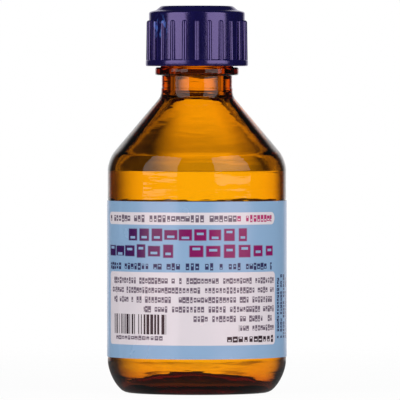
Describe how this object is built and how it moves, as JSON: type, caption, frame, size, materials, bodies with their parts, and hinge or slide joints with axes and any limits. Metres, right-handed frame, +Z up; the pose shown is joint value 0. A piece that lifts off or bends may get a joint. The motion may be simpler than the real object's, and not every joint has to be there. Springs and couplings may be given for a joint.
{
  "type": "solution bottle",
  "caption": "Small amber glass pharmacy bottle with a conical shoulder, pour insert, wrapped paper label, clear fill and a ribbed plastic screw cap that unscrews and lifts off.",
  "frame": {"origin": "centre of the standing ring, on the surface that the bottle stands on", "axes": "+Z up along the bottle's axis, -Y towards the front of the label, +X to the right seen from the front"},
  "size_m": [0.0382, 0.0382, 0.0823],
  "materials": {
    "amber_glass": "gloss",
    "insert_plastic": "satin",
    "liner_foam": "matte",
    "cap_plastic": "satin",
    "label_paper": "satin",
    "solution_liquid": "polished"
  },
  "bodies": {
    "bottle": {"glass_bottle": "amber_glass", "pour_insert": "insert_plastic", "label": "label_paper", "solution": "solution_liquid"},
    "liner": {"cap_liner": "liner_foam"},
    "cap": {"screw_cap": "cap_plastic"}
  },
  "joints": [
    {"name": "cap_lift", "type": "slide", "parent": "bottle", "child": "liner", "axis": [0, 0, 1], "range_m": [0, 0.0136]},
    {"name": "cap_turn", "type": "hinge", "parent": "liner", "child": "cap", "pos_m": [0, 0, 0.0802], "axis": [0, 0, 1], "range_deg": [0, 1620]}
  ],
  "couplings": [
    {"joint": "cap_lift", "follows": "cap_turn", "m_per_rad": 0.00047746}
  ]
}
